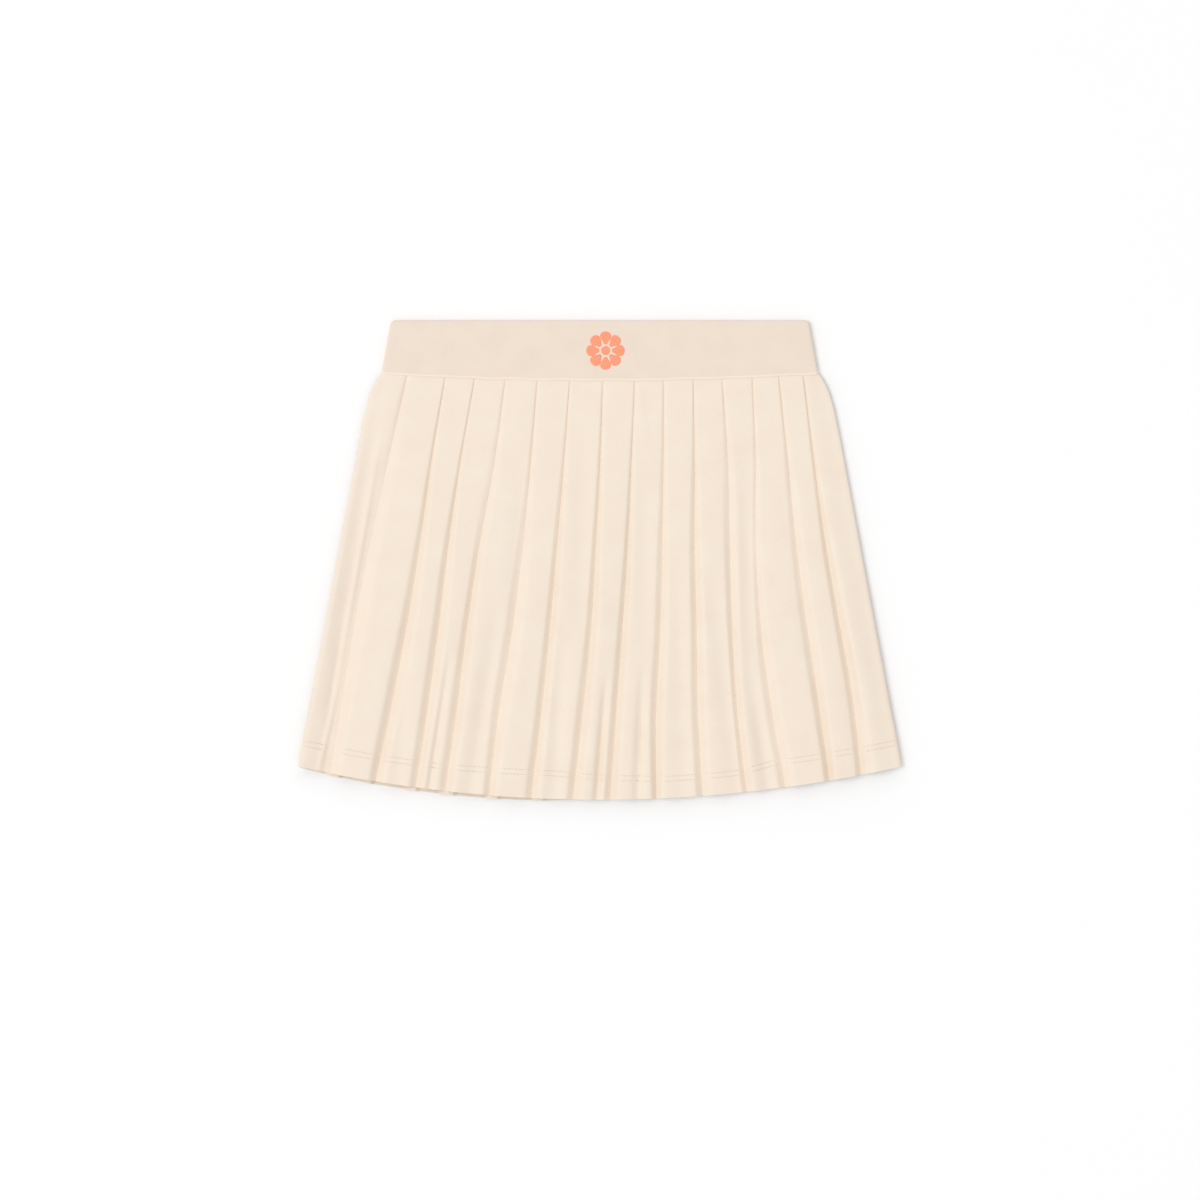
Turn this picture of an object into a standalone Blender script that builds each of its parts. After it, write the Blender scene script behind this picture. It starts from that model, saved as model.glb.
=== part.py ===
"""A pleated tennis skirt laid flat: front and back panels of knife pleats, sewn to a wide elastic
waistband and lying on each other.

Units are metres. +X runs across the skirt to the viewer's right, +Y runs from the hem to the waist
and +Z is up, off the table. The origin is under the middle of the skirt, on the table.
"""

import math
from collections import namedtuple

import bmesh
import bpy

MM = 0.001

# Driving dimensions of the laid-out skirt.
LENGTH = 391 * MM  # top of the waistband to the lowest point of the hem
WAIST_WIDTH = 340 * MM  # across the waistband's top edge
BAND_FOOT_WIDTH = 356 * MM  # across the waistband's lower edge
HEM_WIDTH = 491 * MM  # corner to corner along the hem
BAND_HEIGHT = 44 * MM  # at the sides
SEAM_SAG = 5.5 * MM  # how far the waist seam bows down in the middle
HEM_SAG = 27 * MM  # how far the hem bows down in the middle
BACK_HEM_DROP = 2 * MM  # how far the back hem shows below the front one, at the left

# Cloth.
CLOTH = 1.0 * MM  # one ply of the pleated cloth
BAND = 3.0 * MM  # two plies round a flat elastic
SEAM_GAP = 0.3 * MM  # between pieces that are sewn together
PLY_PITCH = 1.35 * MM  # from ply to ply inside a pressed pleat
LOFT_AT_HEM = 0.55 * MM  # how much further apart the front's plies lie at the hem
FOLD_TURN = 1.1 * MM  # length of the turn at a fold
FOLD_FLAT = 0.35 * MM  # half height of the flat at a fold's tip
PLEAT_CLOTH = 56 * MM  # cloth taken up by one pleat, face and underlay together
MOST_UNDERLAY = 0.6  # an underlay is at most this share of its pleat's width

# Shoulder where the skirt swells out under the waistband.
SHOULDER_WIDTH = 374 * MM  # the side lines drawn up straight to the waist seam
SHOULDER_FADE = 0.035  # share of the panel's length over which the swell comes in

# One row a pleat, left to right: where its folded edge runs, in millimetres from the middle,
# at the waist seam, a third and two thirds of the way down, and at the hem.
Pleat = namedtuple("Pleat", "seam upper lower hem")
PLEATS = [
    Pleat(-157, -179, -201, -219),
    Pleat(-127, -142, -159, -182),
    Pleat(-102, -119, -133, -150),
    Pleat(-77, -93, -108, -123),
    Pleat(-51, -60, -74, -89),
    Pleat(-24, -33, -42, -55),
    Pleat(2, -1, -8, -21),
    Pleat(28, 26, 18, 9),
    Pleat(51, 52, 49, 47),
    Pleat(76, 78, 80, 85),
    Pleat(100, 106, 110, 122),
    Pleat(123, 128, 135, 153),
    Pleat(145, 158, 173, 189),
    Pleat(164, 180, 200, 217),
]

# Sections down a panel, as shares of its length from the waist seam.
FRONT_SECTIONS = (0.0, 0.05, 0.2, 0.45, 0.72, 1.0)
BACK_SECTIONS = (0.0, 0.06, 0.5, 1.0)
BAND_COLUMNS = 16
BAND_ROWS = 3
BAND_EDGE_RADIUS = 1.1 * MM

# Heights above the table. The back's plies are pressed flat, the front's rest on them.
PARTING = CLOTH + 2 * PLY_PITCH + SEAM_GAP / 2  # between the back panel and the front panel
BAND_PARTING = BAND + SEAM_GAP / 2  # between the two halves of the waistband

TOP_Y = LENGTH / 2
SEAM_SIDE_Y = TOP_Y - BAND_HEIGHT
BACK_HEM_MIDDLE_DROP = BACK_HEM_DROP / 2
HEM_SIDE_Y = -LENGTH / 2 + HEM_SAG + BACK_HEM_MIDDLE_DROP

# A small daisy of film pressed onto the front of the waistband, a little right of its middle.
MOTIF_RADIUS = 15.5 * MM
MOTIF_X = 4.5 * MM
MOTIF_PETALS = 8
PETAL_STEPS = 8  # points round one petal
MOTIF_WAIST = 0.45  # radius between two petals, as a share of the motif's radius
PETAL_FULLNESS = 0.6  # below 1 rounds the petals' ends
MOTIF_THICKNESS = 0.5 * MM


def bow(share_across):
    """A parabola that is 0 at both sides (-1 and 1) and 1 in the middle."""
    return 1 - share_across**2


def seam_y(share_across):
    return SEAM_SIDE_Y - SEAM_SAG * bow(share_across)


def hem_y(share_across, drop):
    """The hem, with drop as how far it hangs lower at the left than at the right."""
    return HEM_SIDE_Y - HEM_SAG * bow(share_across) - drop * (1 - share_across) / 2


def half_width(down):
    """Half of the panel's width at a share of its length below the waist seam."""
    straight = SHOULDER_WIDTH + (HEM_WIDTH - SHOULDER_WIDTH) * down
    swell = (SHOULDER_WIDTH - BAND_FOOT_WIDTH) * math.exp(-down / SHOULDER_FADE)
    return (straight - swell) / 2


def through_four(values, down):
    """The smooth curve through four values at shares 0, 1/3, 2/3 and 1."""
    shares = (0, 1 / 3, 2 / 3, 1)
    total = 0
    for i, value in enumerate(values):
        weight = 1
        for j, share in enumerate(shares):
            if j != i:
                weight *= (down - share) / (shares[i] - share)
        total += weight * value
    return total


def fold_lines(down):
    """Where the folded edges cross a section, left to right, in metres."""
    return [through_four(pleat, down) * MM for pleat in PLEATS]


def section(down, ply_pitch, face_run):
    """The middle line of a pleated section as (x, height above the parting plane) pairs.

    A face starts at its folded edge on the third ply up, comes down to the first ply and runs on
    under the next pleat, where it folds back twice. face_run is the share of its open width for
    which it stays on the third ply.
    """
    low, middle, high = (CLOTH / 2 + SEAM_GAP / 2 + ply * ply_pitch for ply in range(3))
    edge = half_width(down)
    folds = fold_lines(down)
    line = [(-edge, low)]
    for fold, following in zip(folds, folds[1:] + [edge]):
        width = following - fold
        underlay = min((PLEAT_CLOTH - width) / 2, MOST_UNDERLAY * width)
        inner = fold + underlay
        landing = following - 2 * FOLD_TURN
        line += [
            (fold - 2 * FOLD_TURN, low),
            (inner - FOLD_TURN, low),
            (inner, (low + middle) / 2 - FOLD_FLAT),
            (inner, (low + middle) / 2 + FOLD_FLAT),
            (inner - FOLD_TURN, middle),
            (fold + FOLD_TURN, middle),
            (fold, (middle + high) / 2 - FOLD_FLAT),
            (fold, (middle + high) / 2 + FOLD_FLAT),
            (fold + FOLD_TURN, high),
            (inner + (landing - inner) * face_run, high),
        ]
    line.append((edge - 2 * FOLD_TURN, low))
    line.append((edge, low))
    return line


def cloth_material(name, colour, roughness):
    material = bpy.data.materials.new(name)
    material.use_nodes = True
    shader = material.node_tree.nodes["Principled BSDF"]
    shader.inputs["Base Color"].default_value = (*colour, 1)
    shader.inputs["Roughness"].default_value = roughness
    shader.inputs["Metallic"].default_value = 0
    return material


def sheet(name, columns, rows, place, material, collection):
    """A grid of columns by rows points, each put at place(column, row)."""
    mesh = bpy.data.meshes.new(name)
    grid = bmesh.new()
    bmesh.ops.create_grid(grid, x_segments=columns - 1, y_segments=rows - 1, size=1)
    for vertex in grid.verts:
        column = round((vertex.co.x + 1) / 2 * (columns - 1))
        row = round((vertex.co.y + 1) / 2 * (rows - 1))
        vertex.co = place(column, row)
    grid.to_mesh(mesh)
    grid.free()
    obj = bpy.data.objects.new(name, mesh)
    mesh.materials.append(material)
    collection.objects.link(obj)
    return obj


def thicken(obj, thickness):
    solidify = obj.modifiers.new("wall", "SOLIDIFY")
    solidify.solidify_mode = "NON_MANIFOLD"
    solidify.nonmanifold_thickness_mode = "CONSTRAINTS"
    solidify.thickness = thickness
    solidify.offset = 0


def pleated_panel(name, sections, loft, face_run, hem_drop, side, material, collection):
    """A pleated panel on one side of the parting plane: side is 1 for the front, lying above it,
    and -1 for the back, which is the same panel turned over about the Y axis."""
    lines = [section(down, PLY_PITCH + loft * down, face_run) for down in sections]

    def place(column, row):
        down = sections[-1 - row]
        x, height = lines[-1 - row][column]
        across = side * x / half_width(down)
        top = seam_y(across) - SEAM_GAP
        y = top + (hem_y(across, hem_drop) - top) * down
        return side * x, y, PARTING + side * height

    obj = sheet(name, len(lines[0]), len(sections), place, material, collection)
    thicken(obj, CLOTH)
    return obj


def band_half(name, side, material, collection):
    """The front or the back of the waistband, one elastic wall high."""
    height = BAND_PARTING + side * (SEAM_GAP + BAND) / 2

    def place(column, row):
        across = 2 * column / BAND_COLUMNS - 1
        up = row / BAND_ROWS
        foot = seam_y(across) + SEAM_GAP / 2
        width = BAND_FOOT_WIDTH + (WAIST_WIDTH - BAND_FOOT_WIDTH) * up
        return across * width / 2, foot + (TOP_Y - foot) * up, height

    obj = sheet(name, BAND_COLUMNS + 1, BAND_ROWS + 1, place, material, collection)
    thicken(obj, BAND)
    bevel = obj.modifiers.new("turned edges", "BEVEL")
    bevel.width = BAND_EDGE_RADIUS
    bevel.segments = 2
    bevel.limit_method = "ANGLE"
    bevel.angle_limit = math.radians(40)
    return obj


def motif(name, material, collection):
    """A plain daisy, cut from one film, halfway up the waistband."""
    curve = bpy.data.curves.new(name, "CURVE")
    curve.dimensions = "2D"
    curve.fill_mode = "BOTH"
    curve.extrude = MOTIF_THICKNESS / 2
    outline = curve.splines.new("POLY")
    steps = MOTIF_PETALS * PETAL_STEPS
    outline.points.add(steps - 1)
    outline.use_cyclic_u = True
    for step, point in enumerate(outline.points):
        turn = 2 * math.pi * step / steps
        petal = abs(math.sin(MOTIF_PETALS * turn / 2)) ** PETAL_FULLNESS
        radius = MOTIF_RADIUS * (MOTIF_WAIST + (1 - MOTIF_WAIST) * petal)
        point.co = (radius * math.cos(turn), radius * math.sin(turn), 0, 1)
    obj = bpy.data.objects.new(name, curve)
    obj.location = (
        MOTIF_X,
        (TOP_Y + seam_y(0)) / 2,
        BAND_PARTING + SEAM_GAP / 2 + BAND + SEAM_GAP + MOTIF_THICKNESS / 2,
    )
    curve.materials.append(material)
    collection.objects.link(obj)
    return obj


def main():
    for obj in list(bpy.data.objects):
        bpy.data.objects.remove(obj)
    skirt = bpy.data.collections.new("tennis_skirt")
    bpy.context.scene.collection.children.link(skirt)
    pleated_cloth = cloth_material("pleated_cloth", (0.91, 0.80, 0.68), 0.8)
    waistband_knit = cloth_material("waistband_knit", (0.87, 0.75, 0.63), 0.85)
    coral_film = cloth_material("coral_film", (0.96, 0.36, 0.20), 0.5)
    pleated_panel("skirt_back", BACK_SECTIONS, 0, 0.7, BACK_HEM_DROP, -1, pleated_cloth, skirt)
    pleated_panel("skirt_front", FRONT_SECTIONS, LOFT_AT_HEM, 0.15, 0, 1, pleated_cloth, skirt)
    band_half("waistband_back", -1, waistband_knit, skirt)
    band_half("waistband_front", 1, waistband_knit, skirt)
    motif("waistband_motif", coral_film, skirt)


main()
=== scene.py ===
# %% [markdown]
# # A pleated tennis skirt, laid flat
#
# The skirt is cream knit, pressed into knife pleats and sewn to a wide elastic waistband.
# It lies on a white table with its front panel on its back panel, and the camera looks
# straight down at it.
#
# The solids of the skirt are already made, at their real size. This lesson gives them the
# look of cloth: each solid is replaced by a thin, finely modelled shell in the same place.
# We start by loading those solids, because every size below is measured from them.

# %% Load the solids
import math

import bmesh
import bpy
import numpy as np
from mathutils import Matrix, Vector, noise


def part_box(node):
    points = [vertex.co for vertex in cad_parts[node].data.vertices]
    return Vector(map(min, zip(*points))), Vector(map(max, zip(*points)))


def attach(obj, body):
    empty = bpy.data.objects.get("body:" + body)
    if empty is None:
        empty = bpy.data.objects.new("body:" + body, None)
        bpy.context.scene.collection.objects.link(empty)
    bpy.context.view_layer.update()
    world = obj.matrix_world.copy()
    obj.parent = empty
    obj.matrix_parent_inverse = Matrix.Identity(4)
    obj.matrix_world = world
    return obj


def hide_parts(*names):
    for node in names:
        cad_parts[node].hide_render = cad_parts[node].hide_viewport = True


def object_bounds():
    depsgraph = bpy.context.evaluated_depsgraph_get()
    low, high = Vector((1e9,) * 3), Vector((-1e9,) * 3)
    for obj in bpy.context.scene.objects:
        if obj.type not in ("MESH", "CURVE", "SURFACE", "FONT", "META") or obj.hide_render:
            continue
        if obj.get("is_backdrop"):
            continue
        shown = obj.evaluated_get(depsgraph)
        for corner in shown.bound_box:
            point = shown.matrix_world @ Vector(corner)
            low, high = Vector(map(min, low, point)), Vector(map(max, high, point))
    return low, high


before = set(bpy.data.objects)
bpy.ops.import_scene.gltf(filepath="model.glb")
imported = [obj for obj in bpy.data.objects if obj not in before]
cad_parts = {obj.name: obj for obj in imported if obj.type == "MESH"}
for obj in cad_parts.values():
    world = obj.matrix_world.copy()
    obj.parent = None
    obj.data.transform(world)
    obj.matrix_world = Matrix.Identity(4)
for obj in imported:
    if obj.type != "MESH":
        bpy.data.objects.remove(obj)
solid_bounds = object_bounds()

MM = 0.001
front_low, front_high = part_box("skirt_front")
back_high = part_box("skirt_back")[1]
band_low, band_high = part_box("waistband_front")
print("nodes:", sorted(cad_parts))
print("skirt front, mm:", [round(v / MM, 1) for v in (*front_low, *front_high)])

# %% [markdown]
# ## The outline
#
# Laid flat, a pleated skirt is a fan. The waist seam and the hem both bow down in the middle,
# because the pleats run out from the waist like spokes. A parabola is close enough to an arc
# this shallow, and it is easy to read. Under the waistband the skirt swells out quickly, like
# a shoulder, and then the sides run straight to the hem.
#
# `across` is -1 at the left side, 0 in the middle and 1 at the right side. `down` is 0 at the
# waist seam and 1 at the hem.

# %% The outline's sizes
HEM_WIDTH = front_high.x - front_low.x
TOP_Y = band_high.y
SEAM_SIDE_Y = front_high.y + 0.3 * MM
SEAM_SAG = 5.5 * MM
HEM_SAG = 27 * MM
HEM_SIDE_Y = front_low.y + HEM_SAG
WAIST_WIDTH = 340 * MM
BAND_FOOT_WIDTH = 356 * MM
SHOULDER_WIDTH = 371 * MM
SHOULDER_FADE = 0.035


def bow(across):
    return 1 - across**2


def seam_y(across):
    return SEAM_SIDE_Y - SEAM_SAG * bow(across)


def hem_y(across):
    return HEM_SIDE_Y - HEM_SAG * bow(across)


def half_width(down):
    straight = SHOULDER_WIDTH + (HEM_WIDTH - SHOULDER_WIDTH) * down
    swell = (SHOULDER_WIDTH - BAND_FOOT_WIDTH) * math.exp(-max(down, 0) / SHOULDER_FADE)
    return (straight - swell) / 2


print(f"hem {HEM_WIDTH / MM:.0f} mm wide, panel {(seam_y(0) - hem_y(0)) / MM:.0f} mm long")

# %% [markdown]
# ## Where each pleat runs
#
# A knife pleat is a flat S: a face, an inner fold, an underlay, and an outer folded edge. All
# of these edges point to the wearer's right, which is the viewer's left. A pressed skirt is
# never as even as its pattern, so the edges are listed one by one: one row a pleat, with the
# edge's place across the skirt at six heights, in millimetres from the middle. A smooth curve
# goes through the six.
#
# The last columns say how each pleat behaves. `valley` is the width of the soft valley along
# the edge, at five heights, also in millimetres. `lift` is how high the edge stands compared
# with the others, and `tilt` is how steeply its face slopes down to the right.

# %% The pleats
from collections import namedtuple

Pleat = namedtuple("Pleat", "edge valley lift tilt")
PLEATS = [
    Pleat((-157, -171.5, -186, -198.5, -209.5, -220), (7, 18, 18, 18, 15), 1.05, 0.5),
    Pleat((-126, -137, -146, -156.5, -169, -182.5), (4, 7, 12.5, 15.5, 13), 1.0, 0.6),
    Pleat((-102, -113.5, -123, -131, -140, -150), (3.5, 6.5, 12, 14, 13), 0.93, 1.0),
    Pleat((-77, -86, -98, -108, -116.5, -126), (5, 12, 10, 13.5, 13), 1.0, 1.1),
    Pleat((-51, -56.5, -63, -71.5, -82.5, -90.5), (4, 9, 15, 16.5, 12), 1.0, 1.0),
    Pleat((-24.5, -29.5, -35, -41, -48, -56), (4, 8, 10, 12.5, 13), 1.05, 1.1),
    Pleat((2.5, 0, -3.5, -7.5, -14.5, -22), (5, 7.5, 10.5, 13.5, 13), 1.05, 1.2),
    Pleat((28.5, 25.5, 22.5, 18, 13, 8), (5, 6.5, 9.5, 12, 12), 0.9, 0.9),
    Pleat((52, 51.5, 50.5, 49, 45.5, 46), (6, 8, 12, 12.5, 10), 1.0, 0.7),
    Pleat((76, 77, 77, 78.5, 79.5, 83.5), (4, 9, 12, 13.5, 13), 1.0, 1.1),
    Pleat((99.5, 104, 105.5, 107.5, 111.5, 119.5), (4, 12.5, 12, 9.5, 10), 0.9, 1.7),
    Pleat((124, 126.5, 126.5, 130.5, 139, 150.5), (4, 8, 9, 14, 14), 0.95, 0.6),
    Pleat((145.5, 152.5, 159, 167.5, 177.5, 186.5), (4, 9.5, 12.5, 13, 10), 1.05, 0.8),
    Pleat((165.5, 173.5, 182.5, 193.5, 205, 212.5), (4, 7, 9.5, 11.5, 11), 1.18, 0.6),
]


def smooth_through(values, down):
    """A Catmull-Rom curve through values at equal steps of down, from 0 to 1."""
    steps = len(values) - 1
    at = min(max(down, 0), 1) * steps
    i = min(int(at), steps - 1)
    t = at - i
    before = values[i - 1] if i > 0 else 2 * values[0] - values[1]
    after = values[i + 2] if i + 2 <= steps else 2 * values[-1] - values[-2]
    a, b = values[i], values[i + 1]
    bend = 2 * before - 5 * a + 4 * b - after
    turn = 3 * a - before - 3 * b + after
    return a + 0.5 * t * (b - before + t * (bend + t * turn))


def edge_x(pleat, down):
    return smooth_through(pleat.edge, down) * MM


print(len(PLEATS), "pleats, left to right")

# %% [markdown]
# ## The section through a row of pleats
#
# Every row of the panel is one long folded line. It could be drawn with a few points and a
# subdivision surface, but subdivision rounds a crisp pressed edge as much as a soft one. So
# each stretch of the fold gets its own simple curve, and only as many points as it needs:
#
# * the way back, the hidden plies round the inner fold, which only the hem shows
# * the tip, a tight half circle where the cloth turns over
# * the rise, from the tip up to the face
# * the face, which slopes gently to the right
# * the dive, down into the next valley and under the next edge
#
# Near the waist the rise and the dive are short and steep, so the edges look sharp. Towards the
# hem the pleats open, the valleys widen and soften, and the edges stand higher. `softness` says
# how far a rise or a dive has turned from a firm shoulder into a gentle wave.
#
# `flatness` is 0 for the front and 1 for the back panel, whose faces are pressed flat against
# the table. The back's sides are hollow: they curve up from the table to the front's sides, so
# that a soft shadow can reach in under them.

# %% The stretches of one fold
THICKNESS = 0.22 * MM
LOWEST = 0.2 * MM  # middle of the lowest ply, above the parting between the two panels
PLY = 0.25 * MM  # from ply to ply where they are pressed together
TIP_LOW = LOWEST + PLY
PLEAT_CLOTH = 56 * MM  # cloth in one pleat, face and underlay together
MOST_UNDERLAY = 0.6  # an underlay is at most this share of its pleat's width
WAIST_LIFT, HEM_LIFT = 2.3 * MM, 6.6 * MM  # how high the folded edges stand
FLAT_LIFT = 3.4 * MM  # the back's faces, level with the table
SHOULDER = 2.6  # 1 would be a straight slope, and more is a rounder shoulder
FACE_END = 0.7  # a face starts to dive at this share of its edge's height
SIDE_RADIUS = 2.4 * MM
HOLLOW_SIDE = 11 * MM  # how far in from its sides the back panel comes down to the table
VALLEY_SPREAD = 0.15  # the share by which the hem's valleys are wider than the list says
MOST_SOFTNESS = 0.85
TIP_POINTS, RISE_POINTS, FACE_POINTS, DIVE_POINTS, SIDE_POINTS = 3, 7, 9, 7, 5


def blend(a, b, t):
    return a + (b - a) * t


def smooth(t):
    t = min(max(t, 0), 1)
    return t * t * (3 - 2 * t)


def valley(pleat, down):
    return smooth_through(pleat.valley, down) * (1 + VALLEY_SPREAD * down) * MM


def side_radius(flatness):
    return blend(SIDE_RADIUS, HOLLOW_SIDE, flatness)


def side_roll(edge, high, left, flatness):
    """The side of the panel: round where it turns down, or gently hollow for the back."""
    line = []
    for step in range(SIDE_POINTS):
        t = step / SIDE_POINTS
        turn = math.pi / 2 * t
        inward = side_radius(flatness) * blend(1 - math.cos(turn), t, flatness)
        height = high * blend(math.sin(turn), smooth(t), flatness)
        line.append((-edge + inward if left else edge - inward, height, 1))
    return line if left else line[::-1]


def face_and_dive(start, end, high, low, width, softness):
    """A face from start, sloping from high to low, and its dive under the next edge at end."""
    line = []
    for step in range(1, FACE_POINTS + 1):
        t = step / FACE_POINTS
        line.append((blend(start, end - width, t), blend(high, low, t**1.4), 1))
    for step in range(1, DIVE_POINTS + 1):
        t = step / DIVE_POINTS
        drop = blend(t**SHOULDER, smooth(t), softness)
        line.append((blend(end - width, end, t), blend(low, LOWEST, drop), 1 - t))
    return line


def way_back(tip, underlay):
    """The hidden plies: right along the bottom, round the inner fold and back towards the tip."""
    inner = tip + underlay - PLY / 2
    line = [(tip + 2 * PLY, LOWEST, 0)]
    for step in range(3):
        turn = math.pi * step / 2
        x = inner + PLY / 2 * math.sin(turn)
        line.append((x, LOWEST + PLY / 2 * (1 - math.cos(turn)), 0))
    return line


def tip_and_rise(tip, high, width, softness):
    """The folded edge, and the cloth coming up from it to the face."""
    line = []
    for step in range(TIP_POINTS):
        turn = math.pi * step / (TIP_POINTS - 1)
        x = tip + PLY / 2 * (1 - math.sin(turn))
        line.append((x, TIP_LOW + PLY / 2 * (1 - math.cos(turn)), 0))
    for step in range(1, RISE_POINTS + 1):
        t = step / RISE_POINTS
        lift = blend(1 - (1 - t) ** SHOULDER, smooth(t), softness)
        x = blend(tip + PLY / 2, tip + width, t)
        line.append((x, blend(TIP_LOW + PLY, high, lift), t))
    return line


print("a fold has", 4 + TIP_POINTS + RISE_POINTS + FACE_POINTS + DIVE_POINTS, "points")

# %% [markdown]
# ## One whole row
#
# A row strings the stretches together from the left side to the right. Each point also gets a
# freedom: 1 where the cloth is free to crease and 0 where it is held between other plies. The
# creases added later are multiplied by it, so that no ply is pushed through another.

# %% One row, from side to side
DIVE_SHARE, RISE_SHARE = 0.45, 0.55  # of a valley's width
BACK_DIVE_SHARE, BACK_RISE_SHARE = 0.4, 0.3
STRIP_START = (2.4 * MM, 6.2 * MM)  # height of the left strip at its side, at waist and hem
STRIP_END = (2.0 * MM, 1.8 * MM)  # and where it dives under the first pleat
LAST_FACE_END = 0.45  # the last face sinks to this share of its edge's height


def lift_of(pleat, down, flatness):
    uneven = 1 + 0.07 * math.sin(5 * down + 40 * pleat.edge[0])
    high = blend(WAIST_LIFT, HEM_LIFT, smooth(down * 1.3)) * pleat.lift * uneven
    return blend(high, FLAT_LIFT, flatness)


def folded_row(down, pleats, flatness):
    """(x, height above the parting, freedom) for each point of a row."""
    edge = half_width(down)
    tips = [edge_x(pleat, down) for pleat in pleats]
    softness = MOST_SOFTNESS * smooth(down * 2.4 - 0.1) * (1 - flatness)
    high = blend(blend(*STRIP_START, smooth(down * 1.5)), FLAT_LIFT, flatness)
    low = blend(blend(*STRIP_END, smooth(down * 1.5)), FLAT_LIFT, flatness)
    width = valley(pleats[0], down) * DIVE_SHARE
    inset = side_radius(flatness)
    line = side_roll(edge, high, True, flatness)
    line += face_and_dive(-edge + inset, tips[0], high, low, width, softness)
    for i, pleat in enumerate(pleats):
        last = i + 1 == len(pleats)
        tip = tips[i]
        end = edge if last else tips[i + 1]
        underlay = min((PLEAT_CLOTH - (end - tip)) / 2, MOST_UNDERLAY * (end - tip))
        high = lift_of(pleat, down, flatness)
        rise = valley(pleat, down) * blend(RISE_SHARE, BACK_RISE_SHARE, flatness)
        low = blend(high * blend(1, FACE_END, pleat.tilt / 1.5), high, flatness)
        line += way_back(tip, underlay) + tip_and_rise(tip, high, rise, softness)
        if last:
            low = blend(high * LAST_FACE_END, FLAT_LIFT, flatness)
            for step in range(1, FACE_POINTS + DIVE_POINTS):
                t = step / (FACE_POINTS + DIVE_POINTS)
                x = blend(tip + rise, edge - inset, t)
                line.append((x, blend(high, low, smooth(t)), 1))
            line += side_roll(edge, low, False, flatness)
        else:
            width = valley(pleats[i + 1], down) * blend(DIVE_SHARE, BACK_DIVE_SHARE, flatness)
            line += face_and_dive(tip + rise, end, high, low, width, softness)
    return line


print("a row has", len(folded_row(0.5, PLEATS, 0)), "points")

# %% [markdown]
# ## Creases
#
# Cloth that has been folded, carried and smoothed out by hand keeps some long soft creases.
# Noise alone makes them look like gravel. Here each main crease is a line between two places
# on the skirt, with its own width and height in millimetres, and it fades at both ends: a ridge
# is above 0 and a trough is below. A little noise goes on top, so that no face is perfectly true.

# %% The creases of the front
RIPPLE = 0.42 * MM
Crease = namedtuple("Crease", "x0 y0 x1 y1 width height")
FRONT_CREASES = [
    Crease(-176, 150, -218, -80, 6, -1.6),
    Crease(-206, -20, -228, -235, 6, -1.6),
    Crease(-178, 105, -220, -140, 2.2, 2.4),
    Crease(-210, -90, -234, -195, 2.2, 2.4),
    Crease(118, 90, 122, -110, 7, -2.2),
    Crease(121, -80, 146, -245, 6.5, -3.4),
    Crease(30, 140, 39, 96, 4, 0.7),
    Crease(-116, 40, -121, 5, 2.5, 0.5),
    Crease(-122, -75, -148, -245, 3.0, -3.4),
    Crease(-82, -35, -114, -245, 7.5, -3.2),
    Crease(-30, -50, -41, -245, 7.5, -3.0),
    Crease(5, -95, -7, -250, 2.8, -5.0),
    Crease(35, -85, 28, -250, 3.5, -4.2),
    Crease(90, 0, 118, -245, 9, -2.6),
    Crease(62, 20, 70, -245, 9, -2.0),
    Crease(183, 35, 226, -205, 2.5, -1.8),
    Crease(-156, -60, -170, -245, 7, -1.6),
    Crease(-62, 90, -70, -60, 8, -1.2),
    Crease(-12, 110, -18, -70, 8, -1.2),
    Crease(37, 80, 36, -90, 7, -1.2),
    Crease(150, 60, 176, -110, 7, -1.2),
    Crease(199, -60, 226, -235, 8, -1.8),
]


def crease_height(crease, x, y):
    """Height that one crease gives the place x, y, in metres."""
    start = Vector((crease.x0, crease.y0)) * MM
    along = Vector((crease.x1, crease.y1)) * MM - start
    offset = Vector((x, y)) - start
    share = offset.dot(along) / along.length_squared
    if not 0 < share < 1:
        return 0
    beside = (offset - along * share).length / (crease.width * MM)
    return crease.height * MM * math.exp(-beside * beside) * math.sin(math.pi * share) ** 0.7


def creased(x, y, creases):
    from_creases = sum(crease_height(crease, x, y) for crease in creases)
    ripple = noise.noise(Vector((x * 22, y * 9, 3)))
    ripple += 0.5 * noise.noise(Vector((x * 60, y * 30, 7)))
    return from_creases + RIPPLE * ripple


print(len(FRONT_CREASES), "creases placed by hand")

# %% [markdown]
# ## The hem
#
# The hem is turned up once and sewn with a twin needle, which makes two rows of stitches side
# by side. The turned-up cloth makes the hem twice as thick, and each row of stitches pulls it
# in along a narrow groove. Grooves need rows of points closer together than the rest of the
# panel does, so the rows near the hem are listed one by one, and spaced evenly above it.
#
# Nobody sews a perfectly even hem. The seam wanders up and down by a few millimetres, and the
# rows of points near it wander along.

# %% Rows down the panel
HEM_DEPTH = 22.4 * MM
STITCH_LINES = (17 * MM, 21 * MM)  # above the hem
HEM_STEP = 0.3 * MM
GROOVE_DEPTH, GROOVE_WIDTH = 0.42 * MM, 0.5 * MM
PANEL_LENGTH = 330 * MM
BY_HAND = 40 * MM  # the rows below this height above the hem are the ones in the next list
FRONT_STEP, BACK_STEP = 5.2 * MM, 9 * MM  # from row to row above them
ABOVE_HEM = [36, 32, 29, 26.5, 24.6, 23.3, 22.2, 21.6, 21.3, 21, 20.7, 20.4, 19.6, 18.4]
ABOVE_HEM += [17.6, 17.3, 17, 16.7, 16.4, 15.6, 13, 9.5, 6.5, 4, 2, 1, 0.4, 0]
# How far the sewing wandered from its line, in millimetres, at places across the skirt.
SEWN_AT = (-240, -120, -80, -38, -4, 55, 112, 142, 200, 240)
SEWN_OFF = (0.4, 0.8, 1.8, 1.9, -0.3, -3.3, -3.0, 1.6, 1.4, 0.5)
TUCKED = 1.4 * MM  # how far the pleats reach up under the waistband's lip


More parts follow.
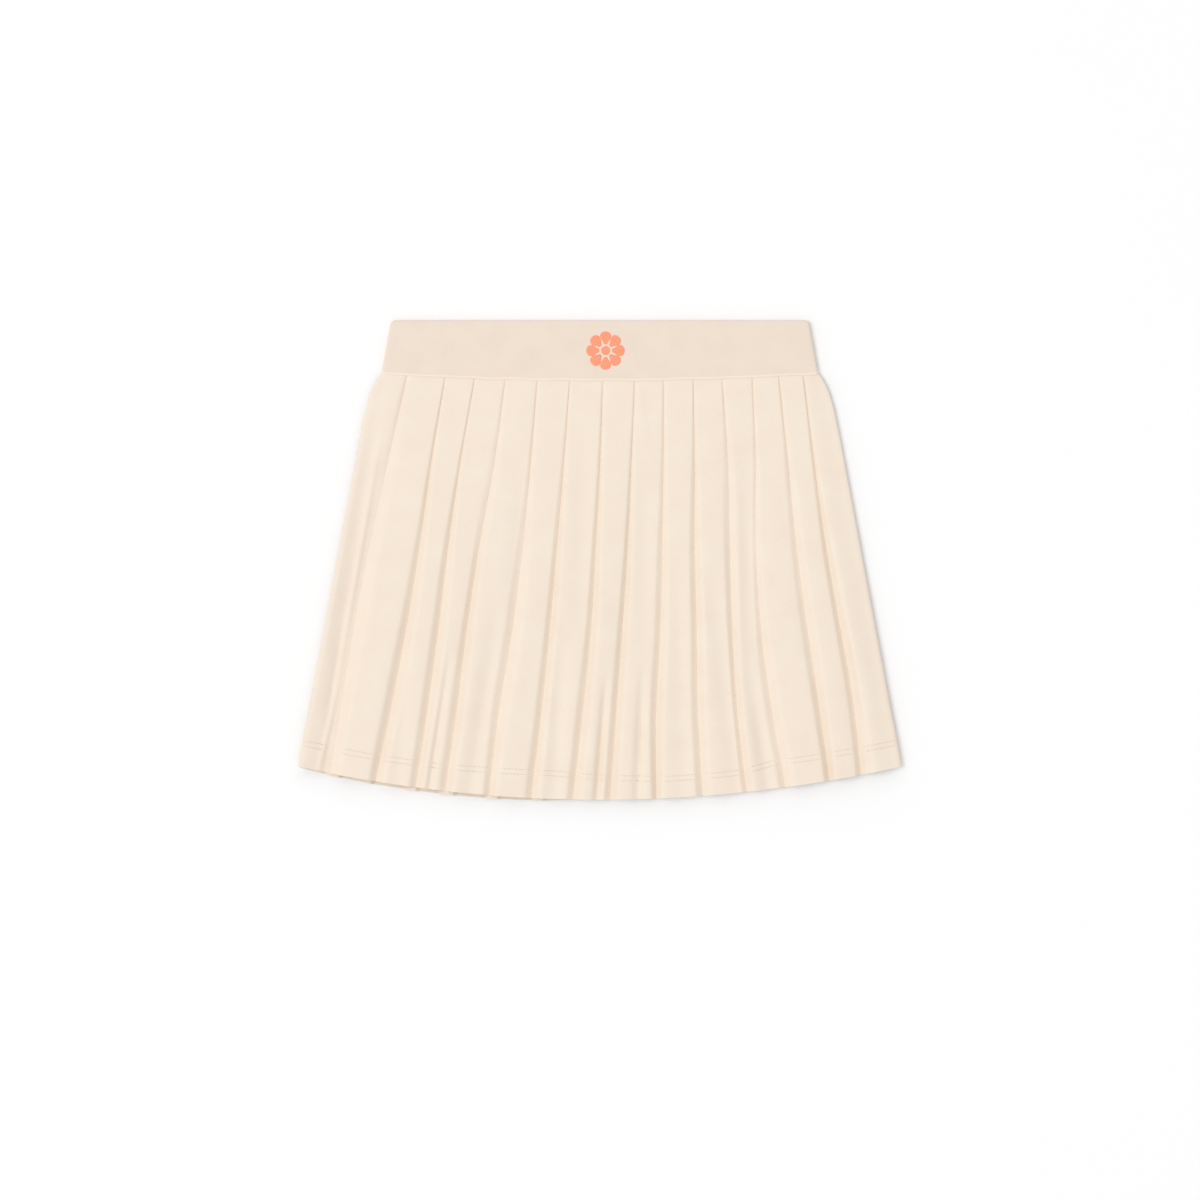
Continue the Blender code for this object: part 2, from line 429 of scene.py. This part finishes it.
def row_places(step):
    """(down, height above the hem or None) for each row, from the waist to the hem."""
    places = [(-TUCKED / PANEL_LENGTH, None), (0, None), (0.003, None), (0.007, None)]
    count = round((PANEL_LENGTH - BY_HAND) / step)
    last = 1 - BY_HAND / PANEL_LENGTH
    places += [(blend(0.012, last, i / count), None) for i in range(count + 1)]
    places += [(1 - height * MM / PANEL_LENGTH, height * MM) for height in ABOVE_HEM]
    return places


def sewing_drift(x, above_hem):
    """How far a row of points moves up, to follow the wandering seam."""
    near = smooth((BY_HAND - above_hem) / (14 * MM)) * smooth(above_hem / (13 * MM))
    return near * float(np.interp(x / MM, SEWN_AT, SEWN_OFF)) * MM


def hem_relief(above_hem):
    if above_hem is None:
        return 0
    double = HEM_STEP * smooth((HEM_DEPTH + 0.8 * MM - above_hem) / (1.6 * MM))
    for line in STITCH_LINES:
        double -= GROOVE_DEPTH * math.exp(-(((above_hem - line) / GROOVE_WIDTH) ** 2))
    return double


print(len(row_places(FRONT_STEP)), "rows")

# %% [markdown]
# ## Making the shells
#
# A shell starts as a grid of quads through all the points, and a Solidify modifier gives it
# the thickness of the cloth. Each point also remembers where it lies on the flat cloth, in
# millimetres, in an attribute called `cloth`. The knit of the material follows that attribute,
# so that it runs along every fold as it does on the real skirt.

# %% A helper for grids of cloth
def cloth_grid(name, rows, thickness):
    """A shell through rows of points."""
    points = np.array(rows)
    count, width = points.shape[:2]
    number = np.arange(count * width).reshape(count, width)
    quads = np.stack([number[:-1, :-1], number[1:, :-1], number[1:, 1:], number[:-1, 1:]], 2)
    mesh = bpy.data.meshes.new(name)
    mesh.from_pydata(points.reshape(-1, 3).tolist(), [], quads.reshape(-1, 4).tolist())
    run = np.zeros(points.shape)
    run[:, 1:, 0] = np.cumsum(np.linalg.norm(np.diff(points, axis=1), axis=2), axis=1)
    run[:, :, 0] -= run[:, width // 2, None, 0]
    run[1:, :, 1] = np.cumsum(np.linalg.norm(np.diff(points, axis=0), axis=2), axis=0)
    attribute = mesh.attributes.new("cloth", "FLOAT_VECTOR", "POINT")
    attribute.data.foreach_set("vector", (run / MM).astype(np.float32).ravel())
    mesh.shade_smooth()
    piece = bpy.data.objects.new(name, mesh)
    bpy.context.scene.collection.objects.link(piece)
    if thickness:
        wall = piece.modifiers.new("cloth", "SOLIDIFY")
        wall.thickness = thickness
        wall.offset = 0
    print(name, "has", len(mesh.polygons), "quads")
    return piece


# %% [markdown]
# ## The front and back panels
#
# The two panels are the same cloth. The back is the front turned over: its folds are mirrored
# left to right, its heights go down from the parting plane instead of up, and the table presses
# its faces flat. At the waist both are squeezed and run a little way into the waistband, as if
# they were sewn in. At the left the back hem has slipped lower than the front one and peeps out.

# %% The two pleated panels
PARTING = (front_low.z + back_high.z) / 2
SQUEEZE, SQUEEZE_LENGTH = 0.6, 10 * MM
BACK_DROP = 3.0 * MM  # how far the back hem shows below the front one
DROP_END = -0.1  # across the skirt, where the back hem goes out of sight


def back_drop(across):
    """The back hem slips out below the front one over the left half of the skirt."""
    if not -1 < across < DROP_END:
        return 0
    return BACK_DROP * math.sin(math.pi * (across + 1) / (DROP_END + 1)) ** 0.45


def panel_rows(pleats, side, flatness, step, creases, drop):
    rows = []
    for down, above_hem in row_places(step):
        row = []
        squeeze = blend(SQUEEZE, 1, smooth((down + 0.004) * PANEL_LENGTH / SQUEEZE_LENGTH))
        for x, height, freedom in folded_row(down, pleats, flatness):
            x *= side
            across = x / half_width(down)
            top, foot = seam_y(across), hem_y(across) - drop(across)
            if above_hem is None:
                y = top + (foot - top) * down
            else:
                y = foot + above_hem + sewing_drift(x, above_hem)
            extra = hem_relief(above_hem) + creased(x, y, creases) * (1 - 0.8 * flatness)
            height = height * squeeze + extra * freedom * min(height / MM, 1)
            height = min(height, PARTING - THICKNESS / 2) if side < 0 else height
            row.append((x, y, PARTING + side * height))
        rows.append(row)
    return rows


front_rows = panel_rows(PLEATS, 1, 0, FRONT_STEP, FRONT_CREASES, lambda across: 0)
skirt_front = cloth_grid("pleated_front", front_rows, THICKNESS)
back_rows = panel_rows(PLEATS, -1, 1, BACK_STEP, [], back_drop)
skirt_back = cloth_grid("pleated_back", back_rows, THICKNESS)

# %% [markdown]
# ## The waistband
#
# The band is knit folded over a flat elastic, so it is a little puffed, round along its top
# fold and rolled along its lower edge, where the seam is turned inside. Its section is a closed
# loop: up the outer face, over the top fold and down the inner face. The two halves thin out at
# the sides and meet there, as one band would where it turns from front to back.

# %% The waistband's section
BAND_THICKNESS = band_high.z - band_low.z
BAND_PARTING = band_low.z - 0.15 * MM
BAND_ROWS, BAND_COLUMNS = 44, 150
LIP_OVERLAP, LIP_PLACE, LIP_WIDTH, LIP_HEIGHT = 0.5 * MM, 1.9 * MM, 1.5 * MM, 0.7 * MM
FOOT_WOBBLE = 0.8 * MM
# A soft groove above the lip, where the elastic ends, and a soft swell under the top fold.
ELASTIC_END, ELASTIC_END_WIDTH, ELASTIC_END_DEPTH = 6.0 * MM, 1.2 * MM, 0.2 * MM
TOP_SWELL, TOP_SWELL_WIDTH, TOP_SWELL_HEIGHT = 3.4 * MM, 1.6 * MM, 0.16 * MM
TOP_ROUND, FOOT_ROUND, SIDE_ROUND, CORNER = 1.6 * MM, 1.1 * MM, 2.6 * MM, 3.2 * MM


def quarter(distance, radius):
    """0 at the edge, rising on a quarter circle to 1 at radius and beyond."""
    t = min(max(distance / radius, 0), 1)
    return math.sqrt(1 - (1 - t) ** 2)


def foot_y(across):
    """The band's lower edge, which wobbles a little where the pleats are caught in it."""
    wobble = FOOT_WOBBLE * noise.noise(Vector((across * 9, 2, 23)))
    return seam_y(across) - LIP_OVERLAP + wobble


def band_place(across, up):
    """Where a point of the band lies on the table."""
    foot = foot_y(across)
    y = blend(foot, TOP_Y, up)
    width = blend(BAND_FOOT_WIDTH, WAIST_WIDTH, up)
    rounding = CORNER * (1 - quarter(TOP_Y - y, CORNER))
    return across * (width / 2 - rounding), y


def bump_at(distance, width):
    """A round bump, 1 high at distance 0 and fading over its width."""
    return math.exp(-((distance / width) ** 2))


def band_height(x, y):
    """How far the outer face stands above the inner one at x, y."""
    side_foot = SEAM_SIDE_Y - LIP_OVERLAP
    half = blend(BAND_FOOT_WIDTH, WAIST_WIDTH, (y - side_foot) / (TOP_Y - side_foot)) / 2
    from_foot = y - foot_y(x / half)
    from_top = TOP_Y - y
    from_side = half - abs(x) - CORNER * (1 - quarter(from_top, CORNER))
    crown = 0.9 + 0.1 * smooth(from_foot / (12 * MM)) * smooth(from_top / (12 * MM))
    lip = LIP_HEIGHT * bump_at(from_foot - LIP_PLACE, LIP_WIDTH)
    lip -= ELASTIC_END_DEPTH * bump_at(from_foot - ELASTIC_END, ELASTIC_END_WIDTH)
    fold = TOP_SWELL_HEIGHT * bump_at(from_top - TOP_SWELL, TOP_SWELL_WIDTH)
    height = BAND_THICKNESS * crown + lip + fold
    height += 0.2 * MM * noise.noise(Vector((x * 35, y * 45, 11)))
    height += 0.1 * MM * noise.noise(Vector((x * 120, y * 60, 17)))
    ends = quarter(from_side, SIDE_ROUND)
    return height * quarter(from_foot, FOOT_ROUND) * quarter(from_top, TOP_ROUND) * ends


def spaced(count, fineness):
    """Shares from 0 to 1, closer together at both ends."""
    shares = []
    for i in range(count + 1):
        turn = math.cos(math.pi * i / count)
        shares.append(0.5 - 0.5 * math.copysign(abs(turn) ** fineness, turn))
    return shares


def band_half(name, side):
    """One half as a closed shell: its outer face, and a flat inner face with the same edge."""
    inside = BAND_PARTING + side * 0.1 * MM
    outer_rows, inner_rows = [], []
    for up in spaced(BAND_ROWS, 0.8):
        outer_row, inner_row = [], []
        for share in spaced(BAND_COLUMNS, 0.85):
            x, y = band_place(2 * share - 1, up)
            on_edge = up in (0, 1) or share in (0, 1)
            height = 0 if on_edge else band_height(x, y)
            outer_row.append((x * side, y, inside + side * height))
            inner_row.append((x * side, y, inside))
        outer_rows.append(outer_row)
        inner_rows.append(inner_row)
    outer = cloth_grid(name, outer_rows, 0)
    inner = cloth_grid(name + "_inside", inner_rows, 0)
    shell = bmesh.new()
    shell.from_mesh(outer.data)
    shell.from_mesh(inner.data)
    bmesh.ops.remove_doubles(shell, verts=shell.verts, dist=0.004 * MM)
    bmesh.ops.recalc_face_normals(shell, faces=shell.faces)
    shell.to_mesh(outer.data)
    shell.free()
    bpy.data.objects.remove(inner)
    return outer


band_front = band_half("waistband_outer", 1)
band_back = band_half("waistband_rear", -1)

# %% [markdown]
# ## The daisy
#
# The one ornament on the waistband is a plain daisy, cut from thin coral film and pressed onto
# the knit with heat. Film like this is soft and a little thick, so its edges are rounded and it
# follows every swell of the band. Each petal is a small grid, from its root to its tip, laid on
# the band's own height. The heart is a separate disc.

# %% Petals and a heart
DAISY_CENTRE = Vector((4.5 * MM, (TOP_Y + seam_y(0)) / 2))
PETALS, PETAL_ROOT, PETAL_TIP, PETAL_HALF = 8, 5 * MM, 15.6 * MM, 4.5 * MM
HEART_RADIUS = 3.7 * MM
FILM, PRESSED_IN = 0.32 * MM, 0.03 * MM
ALONG_PETAL, ACROSS_HALF_PETAL, HEART_RINGS, HEART_SPOKES = 18, 7, 8, 48


def on_band(offset, height):
    x, y = DAISY_CENTRE + offset
    return x, y, BAND_PARTING + 0.1 * MM + band_height(x, y) + height


def petal_width(share):
    """Half width of a petal, from its root at 0 to its tip at 1."""
    return PETAL_HALF * (0.30 + 0.70 * smooth(share / 0.6)) * quarter(1 - share, 0.34)


def petal(turn):
    direction = Vector((math.cos(turn), math.sin(turn)))
    beside = direction.orthogonal()
    rows = []
    for i in range(ALONG_PETAL + 1):
        share = 1 - (1 - i / ALONG_PETAL) ** 1.5
        row = []
        for j in range(-ACROSS_HALF_PETAL, ACROSS_HALF_PETAL + 1):
            across = math.sin(math.pi / 2 * j / ACROSS_HALF_PETAL)
            offset = direction * blend(PETAL_ROOT, PETAL_TIP, share)
            offset += beside * across * petal_width(share)
            ends = min(quarter(share, 0.06), quarter(1 - share, 0.05))
            edge = min(quarter(1 - abs(across), 0.16), ends)
            row.append(on_band(offset, FILM * edge - PRESSED_IN))
        rows.append(row)
    return rows


def heart():
    rows = []
    turns = [-2 * math.pi * j / HEART_SPOKES for j in range(HEART_SPOKES + 1)]
    for i in range(HEART_RINGS + 1):
        radius = HEART_RADIUS * math.sin(math.pi / 2 * i / HEART_RINGS)
        edge = quarter(HEART_RADIUS - radius, 0.4 * MM)
        circle = [Vector((math.cos(turn), math.sin(turn))) * radius for turn in turns]
        rows.append([on_band(offset, FILM * edge - PRESSED_IN) for offset in circle])
    return rows


def joined(name, parts):
    """Several objects made into the first one."""
    whole = bmesh.new()
    for part in parts:
        whole.from_mesh(part.data)
    bmesh.ops.remove_doubles(whole, verts=whole.verts, dist=0.001 * MM)
    whole.to_mesh(parts[0].data)
    whole.free()
    for part in parts[1:]:
        bpy.data.objects.remove(part)
    parts[0].name = name
    return parts[0]


film_parts = [cloth_grid("petal", petal(2 * math.pi * i / PETALS), 0) for i in range(PETALS)]
film_parts.append(cloth_grid("heart", heart(), 0))
daisy = joined("daisy_film", film_parts)

# %% [markdown]
# ## The stitches
#
# A twin needle leaves two rows of short straight stitches on the outside of the hem, each sunk
# in its own groove. A stitch is a tiny thread pulled down at both ends, made of five rings. The
# stitches follow the two rows of points at the bottom of the grooves, one after another at an
# even pitch, and are left out where the cloth turns down into a fold or a valley and the thread
# goes out of sight.

# %% Twin rows of stitches
STITCH, STITCH_PITCH, THREAD = 2.5 * MM, 3.1 * MM, 0.17 * MM
THREAD_SIDES = 5
# For each ring, its share of the stitch, then its height and its thickness in THREADs.
THREAD_RINGS = ((0, -1.2, 0.5), (0.15, 0.2, 0.9), (0.5, 0.6, 1), (0.85, 0.2, 0.9), (1, -1.2, 0.5))


def stitch(start, end, side):
    """A thread from start to end, pulled down into the cloth at both ends."""
    along = (end - start).normalized()
    beside = along.cross(Vector((0, 0, side))).normalized()
    up = beside.cross(along)
    points, faces = [], []
    for share, high, thick in THREAD_RINGS:
        middle = start.lerp(end, share) + up * (THICKNESS / 2 + high * THREAD)
        for i in range(THREAD_SIDES):
            turn = 2 * math.pi * i / THREAD_SIDES
            spoke = beside * math.cos(turn) + up * math.sin(turn)
            points.append(middle + spoke * THREAD * thick)
    for ring in range(0, 4 * THREAD_SIDES, THREAD_SIDES):
        for i in range(THREAD_SIDES):
            j = (i + 1) % THREAD_SIDES
            faces.append((ring + i, ring + i + THREAD_SIDES, ring + j + THREAD_SIDES, ring + j))
    faces.append(tuple(range(THREAD_SIDES)))
    faces.append(tuple(range(5 * THREAD_SIDES - 1, 4 * THREAD_SIDES - 1, -1)))
    return points, faces


def stitch_rows(name, rows, places, side, lowest):
    """Both rows of stitches of a panel, wherever its cloth is higher than lowest."""
    points, faces = [], []
    for needle, above in enumerate(STITCH_LINES):
        row = next(row for row, place in zip(rows, places) if place[1] == above)
        line = np.array(row)
        run = np.concatenate([[0], np.cumsum(np.linalg.norm(np.diff(line, axis=0), axis=1))])
        for start in np.arange(0.4 * needle * STITCH_PITCH, run[-1] - STITCH, STITCH_PITCH):
            ends = [[np.interp(at, run, axis) for axis in line.T] for at in (start, start + STITCH)]
            a, b = Vector(ends[0]), Vector(ends[1])
            high_enough = min((a.z - PARTING) * side, (b.z - PARTING) * side) > lowest
            if (b.x - a.x) * side < 0.8 * STITCH or not high_enough:
                continue
            new_points, new_faces = stitch(a, b, side)
            faces += [tuple(len(points) + i for i in face) for face in new_faces]
            points += new_points
    mesh = bpy.data.meshes.new(name)
    mesh.from_pydata(points, [], faces)
    mesh.shade_smooth()
    piece = bpy.data.objects.new(name, mesh)
    bpy.context.scene.collection.objects.link(piece)
    print(name, "has", len(points) // (5 * THREAD_SIDES), "stitches")
    return piece


front_places, back_places = row_places(FRONT_STEP), row_places(BACK_STEP)
front_stitches = stitch_rows("stitches_front", front_rows, front_places, 1, 1.4 * MM)
back_stitches = stitch_rows("stitches_back", back_rows, back_places, -1, 2.9 * MM)

# %% [markdown]
# ## Cloth
#
# The skirt is a matt cream jersey. Three things make it read as cloth rather than as paint:
# the fine ribs of the knit, a dye that wanders from pinkish to yellowish, and a soft sheen. The
# ribs and the unevenness come from noise that is stretched along the cloth's length, in the
# `cloth` attribute, so both follow the folds. The sheen is the shader's own. Along the lower
# edge of the waistband the knit gets a painted highlight, painted paler for the light line where
# the band rolls over the seam. The last argument of the knit helper says how far up from that edge
# the painted highlight reaches, in millimetres along the cloth.

# %% Helpers for every material
def blank_material(name, roughness):
    """A new material, with its node tree and its shader."""
    material = bpy.data.materials.new(name)
    material.use_nodes = True
    shader = material.node_tree.nodes["Principled BSDF"]
    shader.inputs["Roughness"].default_value = roughness
    return material, material.node_tree, shader


def noise_node(tree, vector, scale, detail, roughness=0.5):
    pattern = tree.nodes.new("ShaderNodeTexNoise")
    pattern.inputs["Scale"].default_value = scale
    pattern.inputs["Detail"].default_value = detail
    pattern.inputs["Roughness"].default_value = roughness
    tree.links.new(vector, pattern.inputs["Vector"])
    return pattern.outputs["Fac"]


def ramp_node(tree, stops):
    """A colour ramp through (position, colour) stops."""
    ramp = tree.nodes.new("ShaderNodeValToRGB")
    for _ in stops[2:]:
        ramp.color_ramp.elements.new(1)
    for element, (position, colour) in zip(ramp.color_ramp.elements, stops):
        element.position = position
        element.color = (*colour, 1)
    return ramp


def add_bump(tree, shader, height, depth):
    bump = tree.nodes.new("ShaderNodeBump")
    bump.inputs["Strength"].default_value = 0.5
    bump.inputs["Distance"].default_value = depth
    tree.links.new(height, bump.inputs["Height"])
    tree.links.new(bump.outputs["Normal"], shader.inputs["Normal"])


# %% Knitted cloth
LIP_HIGHLIGHT_TONE = 1.07  # how much paler the painted highlight makes the band's lower edge


def sum_of(tree, first, second):
    both = tree.nodes.new("ShaderNodeMath")
    both.operation = "ADD"
    tree.links.new(first, both.inputs[0])
    tree.links.new(second, both.inputs[1])
    return both.outputs["Value"]


def lip_highlight_mask(tree, place, highlight_reach):
    """Mask of the painted highlight: 0.5 along the cloth's lower edge, fading to 0 just above its
    reach.
    """
    axes = tree.nodes.new("ShaderNodeSeparateXYZ")
    tree.links.new(place, axes.inputs["Vector"])
    seam = tree.nodes.new("ShaderNodeMapRange")
    seam.inputs["From Min"].default_value = highlight_reach
    seam.inputs["From Max"].default_value = highlight_reach + 1
    seam.inputs["To Min"].default_value = 0.5
    seam.inputs["To Max"].default_value = 0
    tree.links.new(axes.outputs["Y"], seam.inputs["Value"])
    return seam.outputs["Result"]


def knitted(name, colour, pale, roughness, bump_depth, grain, highlight_reach=0):
    """A knit whose colour wanders between colour and pale, with a paler painted highlight along its
    lower edge.
    """
    material, tree, shader = blank_material(name, roughness)
    shader.inputs["Sheen Weight"].default_value = 0.12
    shader.inputs["Sheen Roughness"].default_value = 0.6
    shader.inputs["Specular IOR Level"].default_value = 0.25

    attribute = tree.nodes.new("ShaderNodeAttribute")
    attribute.attribute_name = "cloth"
    place = attribute.outputs["Vector"]
    along = tree.nodes.new("ShaderNodeMapping")
    along.inputs["Scale"].default_value = (*grain, 1)
    tree.links.new(place, along.inputs["Vector"])
    ribs = noise_node(tree, along.outputs["Vector"], 1, 3, 0.6)
    dye = noise_node(tree, place, 0.045, 2)

    mean = tree.nodes.new("ShaderNodeMath")
    mean.operation = "MULTIPLY"
    mean.inputs[1].default_value = 0.5
    tree.links.new(sum_of(tree, ribs, dye), mean.inputs[0])
    shade, stops = mean.outputs["Value"], [(0.35, colour), (0.65, pale)]
    if highlight_reach:
        # Painted highlight: the knit is painted paler along its lower edge, for the light line on
        # the band's rolled lip.
        shade = sum_of(tree, shade, lip_highlight_mask(tree, place, highlight_reach))
        stops.append((1, [LIP_HIGHLIGHT_TONE * tone for tone in pale]))
    colours = ramp_node(tree, stops)
    tree.links.new(shade, colours.inputs["Fac"])
    tree.links.new(colours.outputs["Color"], shader.inputs["Base Color"])
    add_bump(tree, shader, ribs, bump_depth)
    return material


JERSEY_TONES = ((0.838, 0.708, 0.596), (0.848, 0.754, 0.634))
RIB_TONES = ((0.785, 0.660, 0.554), (0.806, 0.702, 0.592))
jersey = knitted("cream_jersey", *JERSEY_TONES, 0.85, 0.12 * MM, (1.1, 0.25))
# The waistband's knit gets a painted highlight, 4.4 mm up from its lower edge.
rib = knitted("waistband_rib", *RIB_TONES, 0.9, 0.16 * MM, (1.3, 0.5), highlight_reach=4.4)
print("cloths:", jersey.name, rib.name)

# %% [markdown]
# ## Film and thread
#
# The film is smooth, soft and a little glossy. The knit under it prints through as a faint
# grain, and the heat press leaves it slightly uneven in colour. The thread has a much finer
# grain, and is painted a shade darker than the cloth: painted shade for the grooves it is sunk
# in. So one helper makes them both.

# %% The film and the thread
def grained(name, tones, roughness, scale, bump_depth):
    """A surface with a fine grain, whose colour wanders between two tones."""
    material, tree, shader = blank_material(name, roughness)
    place = tree.nodes.new("ShaderNodeTexCoord")
    grain = noise_node(tree, place.outputs["Object"], scale, 3)
    colours = ramp_node(tree, [(0.3, tones[0]), (0.7, tones[1])])
    tree.links.new(grain, colours.inputs["Fac"])
    tree.links.new(colours.outputs["Color"], shader.inputs["Base Color"])
    add_bump(tree, shader, grain, bump_depth)
    return material


film = grained("coral_film", ((0.93, 0.27, 0.14), (0.97, 0.33, 0.18)), 0.45, 900, 0.05 * MM)
# The thread's tones are painted darker than the cloth's, as painted shade of its grooves.
thread = grained("cream_thread", ((0.68, 0.53, 0.40), (0.78, 0.63, 0.50)), 0.6, 2500, 0.1 * MM)
print("details:", film.name, thread.name)

# %% [markdown]
# ## Which piece stands for which solid
#
# Now each piece is tied to the skirt's solids: it rides on the root body, it replaces its own
# solid, and it gets one of the four materials.

# %% Tie the pieces to the solids
for piece, material, node, slot_name in (
    (skirt_front, jersey, "skirt_front", "pleated_cloth"),
    (skirt_back, jersey, "skirt_back", "pleated_cloth"),
    (band_front, rib, "waistband_front", "waistband_knit"),
    (band_back, rib, "waistband_back", "waistband_knit"),
    (daisy, film, "waistband_motif", "coral_film"),
    (front_stitches, thread, None, "pleated_cloth"),
    (back_stitches, thread, None, "pleated_cloth"),
):
    piece.data.materials.clear()
    piece.data.materials.append(material)
    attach(piece, "root")
    if node:
        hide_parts(node)

print("pieces tied to", sorted(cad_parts))

# %% [markdown]
# ## The table and the light
#
# A skirt for sale is laid on a white table in a white room, with one very large soft light
# overhead, a little to the left. The room fills every fold, so that the valleys are only a
# little darker than the faces, and the light from the left makes the cloth just behind each
# folded edge brighter than the face beyond it. The table is white enough to come out almost
# pure white, with a faint soft shadow close around the cloth.

# %% Table, room and light
ROOM_STRENGTH = 0.79
TABLE_SIZE, TABLE_TOP = 40, -0.05 * MM
bpy.ops.mesh.primitive_plane_add(size=TABLE_SIZE, location=(0, 0, TABLE_TOP))
table = bpy.context.object
table.name = "table"
white = grained("table_white", ((0.916, 0.916, 0.916), (0.920, 0.920, 0.920)), 0.9, 3, 0.01 * MM)
table.data.materials.append(white)
table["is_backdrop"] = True

world = bpy.data.worlds.new("white_room")
bpy.context.scene.world = world
world.use_nodes = True
world.node_tree.nodes["Background"].inputs["Color"].default_value = (1, 1, 1, 1)
world.node_tree.nodes["Background"].inputs["Strength"].default_value = ROOM_STRENGTH


def area_light(name, place, aim, size, power):
    light = bpy.data.lights.new(name, "AREA")
    light.shape = "DISK"
    light.size = size
    light.energy = power
    lamp = bpy.data.objects.new(name, light)
    lamp.location = place
    lamp.rotation_euler = (Vector(aim) - Vector(place)).to_track_quat("-Z", "Y").to_euler()
    bpy.context.scene.collection.objects.link(lamp)
    lamp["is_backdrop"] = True


area_light("softbox", place=(-7.1, 0.3, 14.3), aim=(0, 0, 0), size=10.2, power=942)
bpy.context.scene.view_settings.view_transform = "Standard"

# %% [markdown]
# ## The camera
#
# The camera is straight above the skirt, far away and on a long lens, so that the cloth looks
# flat and even, as in a catalogue. Its frame is a square just under a metre wide.

# %% A camera straight above
LENS, SENSOR, FRAME_WIDTH, MID_HEIGHT = 150, 36, 976 * MM, 6 * MM
FRAME_MIDDLE_Y = -32.1 * MM  # below the skirt's own middle
camera_data = bpy.data.cameras.new("catalogue_camera")
camera_data.lens = LENS
camera_data.sensor_width = SENSOR
camera = bpy.data.objects.new("catalogue_camera", camera_data)
camera.location = (0, FRAME_MIDDLE_Y, MID_HEIGHT + FRAME_WIDTH * LENS / SENSOR)
bpy.context.scene.collection.objects.link(camera)
bpy.context.scene.camera = camera
print(f"camera {camera.location.z:.2f} m above the table")

# %% [markdown]
# ## Measure and finish
#
# The shells should fill the same space as the solids they replace. Both boxes are written down
# so that they can be compared.

# %% Measure and finish
bpy.context.view_layer.update()
shell_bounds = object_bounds()
for title, (low, high) in (("solids", solid_bounds), ("shells", shell_bounds)):
    print(title, "mm:", [round(v / MM, 1) for v in (*low, *high)])
